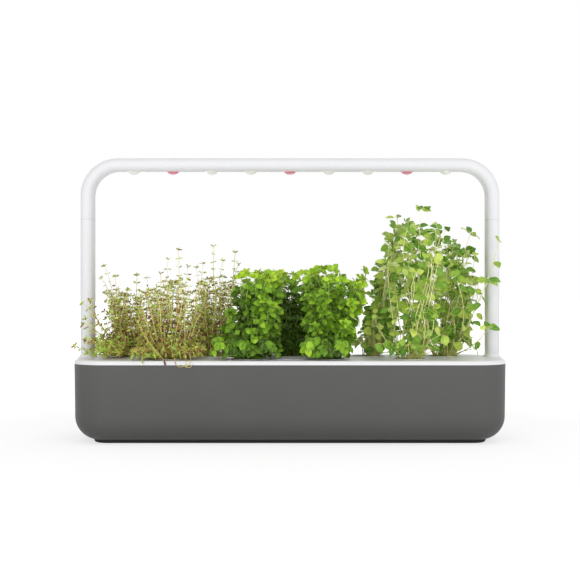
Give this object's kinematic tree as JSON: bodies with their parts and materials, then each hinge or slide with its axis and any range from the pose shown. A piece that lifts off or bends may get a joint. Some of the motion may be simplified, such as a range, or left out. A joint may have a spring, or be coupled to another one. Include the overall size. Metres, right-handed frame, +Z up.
{
  "type": "countertop hydroponic garden",
  "caption": "Indoor herb garden: a long water tank with a lid that holds staggered plant pods, and an LED light arch on two extension arms.",
  "frame": {"origin": "centre of the footprint, on the surface that the unit stands on", "axes": "+X to the right along the tank, +Y to the back, +Z up; the front of the tank faces -Y"},
  "size_m": [0.62, 0.185, 0.4114],
  "materials": {
    "tank_plastic": "satin",
    "pad_rubber": "matte",
    "lid_plastic": "satin",
    "cage_plastic": "satin",
    "float_plastic": "gloss",
    "arm_plastic": "satin",
    "lamp_plastic": "satin",
    "cover_plastic": "satin",
    "lens_clear": "gloss",
    "lens_red": "gloss",
    "circuit_board": "satin",
    "led_white": "gloss",
    "led_red": "gloss",
    "screw_steel": "satin",
    "electronics": "satin",
    "inlet_plastic": "satin",
    "button_plastic": "satin",
    "cup_plastic": "satin",
    "growing_medium": "matte",
    "wick_felt": "matte",
    "thyme_leaves": "satin",
    "thyme_stems": "satin",
    "basil_leaves": "satin",
    "basil_stems": "satin",
    "oregano_leaves": "satin",
    "oregano_stems": "satin"
  },
  "bodies": {
    "tank": {"water_tank": "tank_plastic", "base_pad": "pad_rubber"},
    "lid": {"lid": "lid_plastic", "float_cage": "cage_plastic"},
    "float": {"float": "float_plastic"},
    "arm_left": {"extension_arm_left": "arm_plastic"},
    "arm_right": {"extension_arm_right": "arm_plastic"},
    "lamp": {"lamp_shell": "lamp_plastic", "lamp_cover": "cover_plastic", "lenses_clear": "lens_clear", "lenses_red": "lens_red", "led_board": "circuit_board", "leds_white": "led_white", "leds_red": "led_red", "board_screws": "screw_steel", "driver_module": "electronics", "dc_inlet": "inlet_plastic"},
    "power_button": {"power_button": "button_plastic"},
    "pod_1": {"cup_1": "cup_plastic", "soil_plug_1": "growing_medium", "wick_1": "wick_felt", "plant_1": "thyme_leaves"},
    "pod_2": {"cup_2": "cup_plastic", "soil_plug_2": "growing_medium", "wick_2": "wick_felt", "plant_2": "thyme_leaves"},
    "pod_3": {"cup_3": "cup_plastic", "soil_plug_3": "growing_medium", "wick_3": "wick_felt", "plant_3": "thyme_leaves"},
    "pod_4": {"cup_4": "cup_plastic", "soil_plug_4": "growing_medium", "wick_4": "wick_felt", "plant_4": "basil_leaves"},
    "pod_5": {"cup_5": "cup_plastic", "soil_plug_5": "growing_medium", "wick_5": "wick_felt", "plant_5": "basil_leaves"},
    "pod_6": {"cup_6": "cup_plastic", "soil_plug_6": "growing_medium", "wick_6": "wick_felt", "plant_6": "basil_leaves"},
    "pod_7": {"cup_7": "cup_plastic", "soil_plug_7": "growing_medium", "wick_7": "wick_felt", "plant_7": "oregano_leaves"},
    "pod_8": {"cup_8": "cup_plastic", "soil_plug_8": "growing_medium", "wick_8": "wick_felt", "plant_8": "oregano_leaves"},
    "pod_9": {"cup_9": "cup_plastic", "soil_plug_9": "growing_medium", "wick_9": "wick_felt", "plant_9": "oregano_leaves"}
  },
  "joints": [
    {"name": "lid_lift", "type": "slide", "parent": "tank", "child": "lid", "axis": [0, 0, 1], "range_m": [0, 0.12]},
    {"name": "arm_left_lift", "type": "slide", "parent": "lid", "child": "arm_left", "axis": [0, 0, 1], "range_m": [0, 0.03]},
    {"name": "arm_right_lift", "type": "slide", "parent": "lid", "child": "arm_right", "axis": [0, 0, 1], "range_m": [0, 0.03]},
    {"name": "lamp_lift", "type": "slide", "parent": "arm_left", "child": "lamp", "axis": [0, 0, 1], "range_m": [0, 0.03]},
    {"name": "power_button_press", "type": "slide", "parent": "lamp", "child": "power_button", "axis": [0, -1, 0], "range_m": [0, 0.0012], "stiffness_N_per_m": 400, "springref_m": -0.002},
    {"name": "float_rise", "type": "slide", "parent": "lid", "child": "float", "axis": [0, 0, 1], "range_m": [0, 0.022]},
    {"name": "pod_1_lift", "type": "slide", "parent": "lid", "child": "pod_1", "axis": [0, 0, 1], "range_m": [0, 0.048]},
    {"name": "pod_2_lift", "type": "slide", "parent": "lid", "child": "pod_2", "axis": [0, 0, 1], "range_m": [0, 0.048]},
    {"name": "pod_3_lift", "type": "slide", "parent": "lid", "child": "pod_3", "axis": [0, 0, 1], "range_m": [0, 0.048]},
    {"name": "pod_4_lift", "type": "slide", "parent": "lid", "child": "pod_4", "axis": [0, 0, 1], "range_m": [0, 0.048]},
    {"name": "pod_5_lift", "type": "slide", "parent": "lid", "child": "pod_5", "axis": [0, 0, 1], "range_m": [0, 0.048]},
    {"name": "pod_6_lift", "type": "slide", "parent": "lid", "child": "pod_6", "axis": [0, 0, 1], "range_m": [0, 0.048]},
    {"name": "pod_7_lift", "type": "slide", "parent": "lid", "child": "pod_7", "axis": [0, 0, 1], "range_m": [0, 0.048]},
    {"name": "pod_8_lift", "type": "slide", "parent": "lid", "child": "pod_8", "axis": [0, 0, 1], "range_m": [0, 0.048]},
    {"name": "pod_9_lift", "type": "slide", "parent": "lid", "child": "pod_9", "axis": [0, 0, 1], "range_m": [0, 0.048]}
  ],
  "couplings": [
    {"joint": "arm_right_lift", "follows": "arm_left_lift", "ratio": 1}
  ]
}
